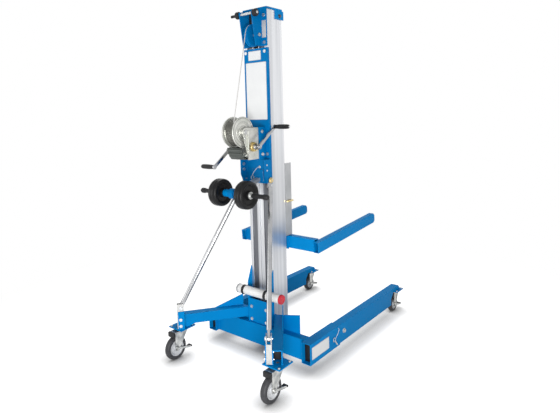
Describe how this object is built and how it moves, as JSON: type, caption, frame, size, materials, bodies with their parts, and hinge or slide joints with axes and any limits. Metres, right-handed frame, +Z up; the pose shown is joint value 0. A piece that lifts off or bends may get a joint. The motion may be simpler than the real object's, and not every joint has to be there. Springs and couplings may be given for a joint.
{
  "type": "material hoist",
  "caption": "Hand-cranked telescopic material hoist: aluminium mast on a wheeled base with stabiliser legs, rear braces, a cable winch and a load fork on a carriage.",
  "frame": {"origin": "middle of the footprint on the floor, under the centre of the bounding box", "axes": "+Z up the mast, +Y the way the forks and front legs point, +X to the right of someone at the winch"},
  "size_m": [0.814, 1.4931, 1.962],
  "materials": {
    "blue_paint": "gloss",
    "aluminium": "satin",
    "chrome": "polished",
    "zinc_steel": "satin",
    "yellow_zinc": "satin",
    "cable_steel": "satin",
    "grey_paint": "satin",
    "white_plastic": "matte",
    "red_plastic": "matte",
    "black_rubber": "matte",
    "grey_tyre": "matte"
  },
  "bodies": {
    "base": {"base_frame": "blue_paint", "left_arm": "blue_paint", "right_arm": "blue_paint", "brace_clips": "zinc_steel", "left_brace": "chrome", "right_brace": "chrome", "frame_bolts": "zinc_steel", "mast_foot": "blue_paint", "rear_column": "aluminium", "back_panel": "blue_paint", "lower_bracket": "blue_paint", "top_bracket": "blue_paint", "axle_pins": "zinc_steel", "document_tube": "white_plastic", "tube_caps": "red_plastic", "tube_clamps": "black_rubber", "winch_frame": "zinc_steel", "winch_guard": "grey_paint", "lift_cable": "cable_steel", "cable_down_run": "cable_steel", "lock_pins": "chrome", "leg_lanyard": "cable_steel", "hitch_lanyard": "cable_steel", "transport_arm": "zinc_steel", "transport_axle": "blue_paint", "transport_grips": "black_rubber"},
    "winch_drum": {"drum": "zinc_steel", "cable_winding": "cable_steel"},
    "crank": {"crank_shaft": "zinc_steel", "brake_disc": "yellow_zinc", "crank_arms": "chrome"},
    "left_crank_grip": {"left_crank_grip": "black_rubber"},
    "right_crank_grip": {"right_crank_grip": "black_rubber"},
    "top_sheave": {"top_sheave": "blue_paint"},
    "load_rollers": {"load_rollers": "black_rubber"},
    "left_transport_wheel": {"left_transport_wheel": "black_rubber"},
    "right_transport_wheel": {"right_transport_wheel": "black_rubber"},
    "lift_column": {"front_column": "aluminium", "column_head": "blue_paint", "cable_up_run": "cable_steel", "cable_fall": "cable_steel"},
    "column_foot_sheave": {"column_foot_sheave": "zinc_steel"},
    "column_head_sheave": {"column_head_sheave": "zinc_steel"},
    "lift_carriage": {"carriage": "grey_paint", "fork_frame": "blue_paint"},
    "fork_pin": {"fork_pin": "yellow_zinc"},
    "left_leg": {"left_leg": "blue_paint"},
    "right_leg": {"right_leg": "blue_paint"},
    "rear_left_caster": {"rear_left_caster": "zinc_steel"},
    "rear_left_wheel": {"rear_left_wheel": "grey_tyre"},
    "rear_left_pedal": {"rear_left_pedal": "zinc_steel"},
    "rear_right_caster": {"rear_right_caster": "zinc_steel"},
    "rear_right_wheel": {"rear_right_wheel": "grey_tyre"},
    "rear_right_pedal": {"rear_right_pedal": "zinc_steel"},
    "front_left_caster": {"front_left_caster": "zinc_steel"},
    "front_left_wheel": {"front_left_wheel": "grey_tyre"},
    "front_left_pedal": {"front_left_pedal": "zinc_steel"},
    "front_right_caster": {"front_right_caster": "zinc_steel"},
    "front_right_wheel": {"front_right_wheel": "grey_tyre"},
    "front_right_pedal": {"front_right_pedal": "zinc_steel"}
  },
  "joints": [
    {"name": "column_lift", "type": "slide", "parent": "base", "child": "lift_column", "axis": [0, 0, 1], "range_m": [0, 1.4], "deforming": ["cable_down_run"]},
    {"name": "carriage_lift", "type": "slide", "parent": "lift_column", "child": "lift_carriage", "axis": [0, 0, 1], "range_m": [-0.49, 0.75], "deforming": ["cable_fall"]},
    {"name": "drum_spin", "type": "hinge", "parent": "base", "child": "winch_drum", "pos_m": [0, -0.4685, 1.293], "axis": [1, 0, 0], "continuous": true},
    {"name": "crank_spin", "type": "hinge", "parent": "base", "child": "crank", "pos_m": [0, -0.4165, 1.213], "axis": [1, 0, 0], "continuous": true},
    {"name": "top_sheave_spin", "type": "hinge", "parent": "base", "child": "top_sheave", "pos_m": [0, -0.3285, 1.814], "axis": [1, 0, 0], "continuous": true},
    {"name": "column_foot_sheave_spin", "type": "hinge", "parent": "lift_column", "child": "column_foot_sheave", "pos_m": [0, -0.2445, 0.115], "axis": [1, 0, 0], "continuous": true},
    {"name": "column_head_sheave_spin", "type": "hinge", "parent": "lift_column", "child": "column_head_sheave", "pos_m": [0, -0.1905, 1.912], "axis": [1, 0, 0], "continuous": true},
    {"name": "right_crank_grip_spin", "type": "hinge", "parent": "crank", "child": "right_crank_grip", "pos_m": [0.15, -0.27492, 1.31586], "axis": [1, 0, 0], "continuous": true},
    {"name": "left_crank_grip_spin", "type": "hinge", "parent": "crank", "child": "left_crank_grip", "pos_m": [-0.15, -0.55808, 1.11014], "axis": [1, 0, 0], "continuous": true},
    {"name": "load_rollers_spin", "type": "hinge", "parent": "base", "child": "load_rollers", "pos_m": [0, -0.3725, 1.923], "axis": [1, 0, 0], "continuous": true},
    {"name": "right_transport_wheel_spin", "type": "hinge", "parent": "base", "child": "right_transport_wheel", "pos_m": [0.094, -0.5235, 0.969], "axis": [1, 0, 0], "continuous": true},
    {"name": "left_transport_wheel_spin", "type": "hinge", "parent": "base", "child": "left_transport_wheel", "pos_m": [-0.094, -0.5235, 0.969], "axis": [1, 0, 0], "continuous": true},
    {"name": "fork_pin_pull", "type": "slide", "parent": "lift_carriage", "child": "fork_pin", "axis": [1, 0, 0], "range_m": [0, 0.05]},
    {"name": "left_leg_slide", "type": "slide", "parent": "base", "child": "left_leg", "axis": [0, 1, 0], "range_m": [0, 0.2]},
    {"name": "right_leg_slide", "type": "slide", "parent": "base", "child": "right_leg", "axis": [0, 1, 0], "range_m": [0, 0.2]},
    {"name": "rear_left_swivel", "type": "hinge", "parent": "base", "child": "rear_left_caster", "pos_m": [-0.353, -0.6205, 0.13], "axis": [0, 0, 1], "continuous": true},
    {"name": "rear_left_wheel_spin", "type": "hinge", "parent": "rear_left_caster", "child": "rear_left_wheel", "pos_m": [-0.353, -0.6765, 0.069], "axis": [1, 0, 0], "continuous": true},
    {"name": "rear_left_brake", "type": "hinge", "parent": "rear_left_caster", "child": "rear_left_pedal", "pos_m": [-0.328, -0.6765, 0.069], "axis": [1, 0, 0], "range_deg": [-18, 0]},
    {"name": "rear_right_swivel", "type": "hinge", "parent": "base", "child": "rear_right_caster", "pos_m": [0.353, -0.6205, 0.13], "axis": [0, 0, 1], "continuous": true},
    {"name": "rear_right_wheel_spin", "type": "hinge", "parent": "rear_right_caster", "child": "rear_right_wheel", "pos_m": [0.353, -0.6765, 0.069], "axis": [1, 0, 0], "continuous": true},
    {"name": "rear_right_brake", "type": "hinge", "parent": "rear_right_caster", "child": "rear_right_pedal", "pos_m": [0.378, -0.6765, 0.069], "axis": [1, 0, 0], "range_deg": [-18, 0]},
    {"name": "front_left_swivel", "type": "hinge", "parent": "left_leg", "child": "front_left_caster", "pos_m": [-0.353, 0.6985, 0.115], "axis": [0, 0, 1], "continuous": true},
    {"name": "front_left_wheel_spin", "type": "hinge", "parent": "front_left_caster", "child": "front_left_wheel", "pos_m": [-0.353, 0.6695, 0.051], "axis": [1, 0, 0], "continuous": true},
    {"name": "front_left_brake", "type": "hinge", "parent": "front_left_caster", "child": "front_left_pedal", "pos_m": [-0.328, 0.6695, 0.051], "axis": [1, 0, 0], "range_deg": [-18, 0]},
    {"name": "front_right_swivel", "type": "hinge", "parent": "right_leg", "child": "front_right_caster", "pos_m": [0.353, 0.6985, 0.115], "axis": [0, 0, 1], "continuous": true},
    {"name": "front_right_wheel_spin", "type": "hinge", "parent": "front_right_caster", "child": "front_right_wheel", "pos_m": [0.353, 0.6695, 0.051], "axis": [1, 0, 0], "continuous": true},
    {"name": "front_right_brake", "type": "hinge", "parent": "front_right_caster", "child": "front_right_pedal", "pos_m": [0.378, 0.6695, 0.051], "axis": [1, 0, 0], "range_deg": [-18, 0]}
  ],
  "couplings": [
    {"joint": "drum_spin", "follows": "carriage_lift", "rad_per_m": 13.889},
    {"joint": "crank_spin", "follows": "carriage_lift", "rad_per_m": -55.556},
    {"joint": "top_sheave_spin", "follows": "carriage_lift", "rad_per_m": 17.544},
    {"joint": "column_foot_sheave_spin", "follows": "carriage_lift", "rad_per_m": -37.037},
    {"joint": "column_head_sheave_spin", "follows": "carriage_lift", "rad_per_m": 37.037}
  ]
}
